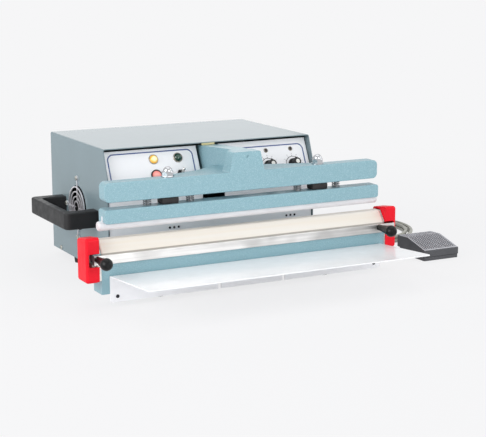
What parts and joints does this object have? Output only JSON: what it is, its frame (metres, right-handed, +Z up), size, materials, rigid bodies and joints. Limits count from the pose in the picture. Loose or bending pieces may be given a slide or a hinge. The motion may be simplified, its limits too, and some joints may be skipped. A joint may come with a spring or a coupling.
{
  "type": "impulse heat sealer",
  "caption": "Tabletop automatic impulse heat sealer with a solenoid-driven arm, sprung upper jaw, taped lower jaw, work tray, timer controls and a corded foot pedal.",
  "frame": {"origin": "middle of the underside of the whole machine with its pedal and without its cord, on the table", "axes": "+X to the right along the jaws, +Y to the back, +Z up"},
  "size_m": [0.762, 0.6352, 0.2195],
  "materials": {
    "hood_paint": "light grey-green enamel, fine texture",
    "casting_paint": "teal hammered enamel",
    "panel_paint": "near-white satin enamel",
    "zinc": "zinc-plated steel",
    "tray_enamel": "gloss white stove enamel on sheet steel",
    "nickel": "nickel-plated",
    "steel": "ground steel",
    "spring_steel": "spring steel",
    "aluminium": "natural anodised",
    "insulator": "white insulating moulding",
    "brass": "natural",
    "copper": "enamelled wire under tape",
    "laminations": "varnished laminations",
    "black_plastic": "moulded, fine texture",
    "black_rubber": "matt",
    "red_plastic": "glossy",
    "amber_lens": "clear tinted",
    "green_lens": "clear tinted",
    "led_red": "diffused",
    "board": "solder mask",
    "release_cloth": "woven glass cloth with a smooth release coating",
    "nichrome": "resistance ribbon",
    "silicone": "off-white silicone rubber",
    "pedal_top": "grey moulded",
    "pedal_base": "dark grey moulded",
    "cord": "grey jacket"
  },
  "bodies": {
    "cabinet": {"hood": "hood_paint", "base_pan": "hood_paint", "rear_panel": "hood_paint", "left_front_panel": "panel_paint", "right_front_panel": "panel_paint", "rubber_feet": "black_rubber", "case_screws": "zinc", "side_handles": "black_plastic", "fan_frame": "black_plastic", "fan_guard": "nickel", "amber_lamp": "amber_lens", "green_lamp": "green_lens", "lamp_bezels": "nickel", "indicator_leds": "led_red", "switch_bodies": "black_plastic", "timer_board": "board", "pivot_brackets": "zinc", "pivot_bushes": "brass", "stop_bar": "zinc", "solenoid_frame": "zinc", "solenoid_coil": "copper", "return_spring": "spring_steel", "arm_switch": "black_plastic", "transformer_core": "laminations", "transformer_winding": "copper", "power_inlet": "black_plastic", "lower_jaw_casting": "casting_paint", "heating_element": "nichrome", "release_cloth": "release_cloth", "clamp_bar": "aluminium", "left_end_cap": "red_plastic", "right_end_cap": "red_plastic", "terminal_blocks": "insulator", "work_tray": "tray_enamel", "pedal_base": "pedal_base", "pedal_pin": "steel", "pedal_spring": "spring_steel", "pedal_switch": "black_plastic", "strain_reliefs": "black_rubber", "cord_from_cabinet": "cord", "cord_coil": "cord", "cord_to_pedal": "cord"},
    "fan": {"fan_rotor": "black_plastic"},
    "rocker": {"power_rocker": "red_plastic"},
    "toggle": {"mode_toggle": "nickel"},
    "heat_knob": {"heat_timer_knob": "black_plastic"},
    "cool_knob": {"cool_timer_knob": "black_plastic"},
    "arm": {"arm_casting": "casting_paint", "pivot_shaft": "steel", "jaw_springs": "spring_steel", "buffer_blocks": "black_rubber"},
    "plunger": {"solenoid_plunger": "steel", "clevis_pin": "steel"},
    "jaw": {"upper_jaw_bar": "casting_paint", "pressure_rod": "silicone", "suspension_bolts": "steel", "cap_nuts": "nickel"},
    "left_clamp": {"left_clamp_knob": "black_plastic"},
    "right_clamp": {"right_clamp_knob": "black_plastic"},
    "treadle": {"pedal_treadle": "pedal_top"}
  },
  "joints": [
    {"name": "arm_close", "type": "hinge", "parent": "cabinet", "child": "arm", "pos_m": [-0.07175, 0.20625, 0.158], "axis": [1, 0, 0], "range_deg": [0, 2], "stiffness_Nm_per_rad": 120, "springref_deg": -20.05, "deforming": ["return_spring"]},
    {"name": "jaw_float", "type": "slide", "parent": "arm", "child": "jaw", "axis": [0, 0, 1], "range_m": [0, 0.003], "stiffness_N_per_m": 9000, "springref_m": -0.004, "deforming": ["jaw_springs", "buffer_blocks"]},
    {"name": "plunger_slide", "type": "slide", "parent": "cabinet", "child": "plunger", "axis": [0, 0, 1], "range_m": [-0.0045, 0]},
    {"name": "fan_spin", "type": "hinge", "parent": "cabinet", "child": "fan", "pos_m": [-0.26325, 0.12965, 0.1037], "axis": [1, 0, 0], "continuous": true},
    {"name": "heat_timer_turn", "type": "hinge", "parent": "cabinet", "child": "heat_knob", "pos_m": [0.03725, 0.00534, 0.17], "axis": [0, -0.9078, 0.4195], "range_deg": [-150, 150]},
    {"name": "cool_timer_turn", "type": "hinge", "parent": "cabinet", "child": "cool_knob", "pos_m": [0.08525, 0.00534, 0.17], "axis": [0, -0.9078, 0.4195], "range_deg": [-150, 150]},
    {"name": "power_rocker_tilt", "type": "hinge", "parent": "cabinet", "child": "rocker", "pos_m": [-0.17275, 0.00534, 0.17], "axis": [1, 0, 0], "range_deg": [-9, 0]},
    {"name": "mode_toggle_tilt", "type": "hinge", "parent": "cabinet", "child": "toggle", "pos_m": [-0.12875, 0.00488, 0.17021], "axis": [1, 0, 0], "range_deg": [0, 24]},
    {"name": "left_clamp_turn", "type": "hinge", "parent": "cabinet", "child": "left_clamp", "pos_m": [-0.33625, -0.14, 0.07675], "axis": [0, -1, 0], "range_deg": [0, 720]},
    {"name": "right_clamp_turn", "type": "hinge", "parent": "cabinet", "child": "right_clamp", "pos_m": [0.16725, -0.14, 0.07675], "axis": [0, -1, 0], "range_deg": [0, 720]},
    {"name": "pedal_press", "type": "hinge", "parent": "cabinet", "child": "treadle", "pos_m": [0.31725, -0.10475, 0.0105], "axis": [1, 0, 0], "range_deg": [-3, 0], "stiffness_Nm_per_rad": 4, "springref_deg": 6.88, "deforming": ["pedal_spring"]}
  ],
  "couplings": [
    {"joint": "plunger_slide", "follows": "arm_close", "m_per_rad": -0.095497}
  ]
}
